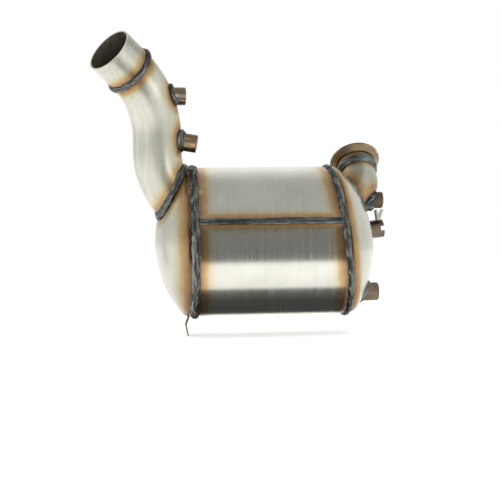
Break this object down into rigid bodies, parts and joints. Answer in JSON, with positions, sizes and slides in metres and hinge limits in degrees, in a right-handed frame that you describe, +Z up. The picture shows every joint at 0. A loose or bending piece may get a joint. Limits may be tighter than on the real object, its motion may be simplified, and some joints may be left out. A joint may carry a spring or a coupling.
{
  "type": "diesel particulate filter",
  "caption": "Round welded steel filter canister with dished caps, an S-bend outlet pipe, a flanged inlet neck and threaded sensor bosses.",
  "frame": {"origin": "middle of the inlet bore at the mouth of its flange", "axes": "+X along the canister from the outlet end to the inlet end, +Y to the far side, +Z up along the outlet pipe"},
  "size_m": [0.3968, 0.2042, 0.3936],
  "materials": {
    "shell_steel": "brushed round, straw tint beside the welds",
    "cap_steel": "pressed satin, straw tint beside the welds",
    "pipe_steel": "mandrel bent satin tube",
    "neck_steel": "satin tube, straw tint",
    "flange_steel": "turned, bronze heat tint",
    "boss_steel": "turned, bronze heat tint",
    "bracket_steel": "cut sheet",
    "weld_metal": "rough as-laid bead",
    "blue_weld_metal": "rough as-laid bead, blue tint",
    "filter_ceramic": "matt silicon carbide",
    "catalyst_ceramic": "matt coated cordierite",
    "mat_fibre": "matt fibre",
    "knitted_wire": "knitted wire"
  },
  "bodies": {
    "root": {"canister_shell": "shell_steel", "outlet_cap": "cap_steel", "inlet_cap": "cap_steel", "pipe_foot": "pipe_steel", "outlet_pipe": "pipe_steel", "pipe_elbow": "pipe_steel", "outlet_stub": "pipe_steel", "inlet_neck": "neck_steel", "neck_collar": "neck_steel", "inlet_flange": "flange_steel", "outlet_ring_weld": "weld_metal", "inlet_ring_weld": "weld_metal", "seam_weld": "weld_metal", "outlet_pipe_weld": "weld_metal", "outlet_stub_weld": "weld_metal", "inlet_neck_weld": "weld_metal", "inlet_flange_weld": "blue_weld_metal", "upper_pipe_boss": "boss_steel", "lower_pipe_boss": "boss_steel", "neck_boss": "boss_steel", "rear_cap_boss": "boss_steel", "low_cap_boss": "boss_steel", "upper_pipe_boss_weld": "weld_metal", "lower_pipe_boss_weld": "weld_metal", "neck_boss_weld": "blue_weld_metal", "rear_cap_boss_weld": "weld_metal", "low_cap_boss_weld": "weld_metal", "filter_brick": "filter_ceramic", "catalyst_brick": "catalyst_ceramic", "filter_mat": "mat_fibre", "catalyst_mat": "mat_fibre", "wire_rings": "knitted_wire", "hanger_strip": "bracket_steel", "line_clip": "bracket_steel"}
  },
  "joints": []
}
